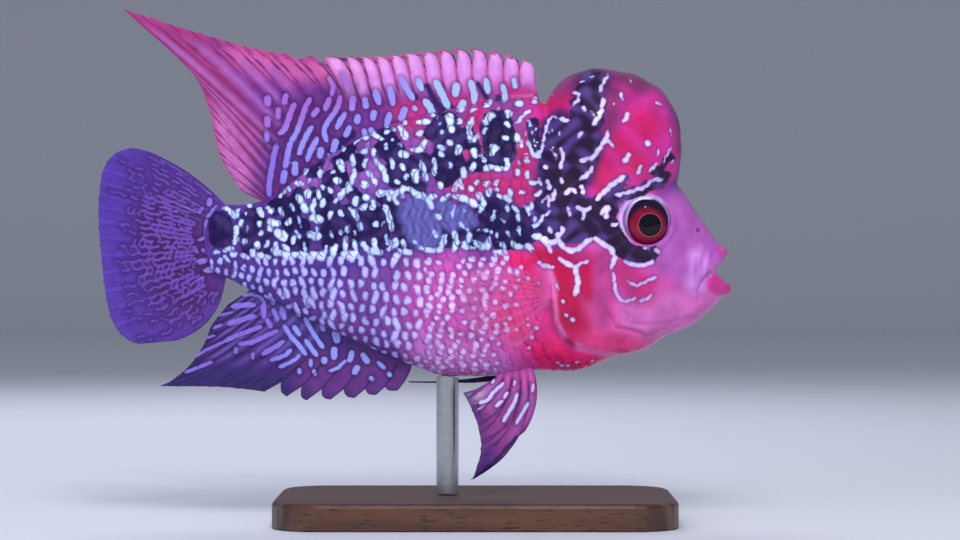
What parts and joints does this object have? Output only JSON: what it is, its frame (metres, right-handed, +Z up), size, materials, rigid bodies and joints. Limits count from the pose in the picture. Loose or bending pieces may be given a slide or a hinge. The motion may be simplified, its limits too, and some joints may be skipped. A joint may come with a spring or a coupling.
{
  "type": "flowerhorn cichlid",
  "caption": "Life-size model of a young flowerhorn cichlid with a swollen forehead and open mouth, held up on a plain display stand.",
  "frame": {"origin": "on the floor under the middle of the whole model, midway between the lips and the rear edge of the tail fin", "axes": "+X the way the head points, +Z up, +Y to the fish's left"},
  "size_m": [0.1249, 0.046, 0.101],
  "materials": {
    "skin": "wet scaled skin, crimson and plum with black blotches and pearl marks",
    "fin": "thin fin membrane between rays, plum with violet-blue pearls",
    "clear_fin": "almost clear fin membrane",
    "eye": "red iris round a black pupil with a thin gold ring, wet and glossy",
    "stand": "satin black lacquer",
    "rod": "brushed"
  },
  "bodies": {
    "root": {"head": "skin", "nuchal_hump": "skin", "trunk": "skin", "tail_stem": "skin", "dorsal_fin": "fin", "anal_fin": "fin", "caudal_fin": "fin", "pectoral_fin_right": "clear_fin", "pectoral_fin_left": "clear_fin", "pelvic_fin_right": "fin", "pelvic_fin_left": "fin", "eye_right": "eye", "eye_left": "eye", "stand_base": "stand", "stand_rod": "rod"}
  },
  "joints": []
}
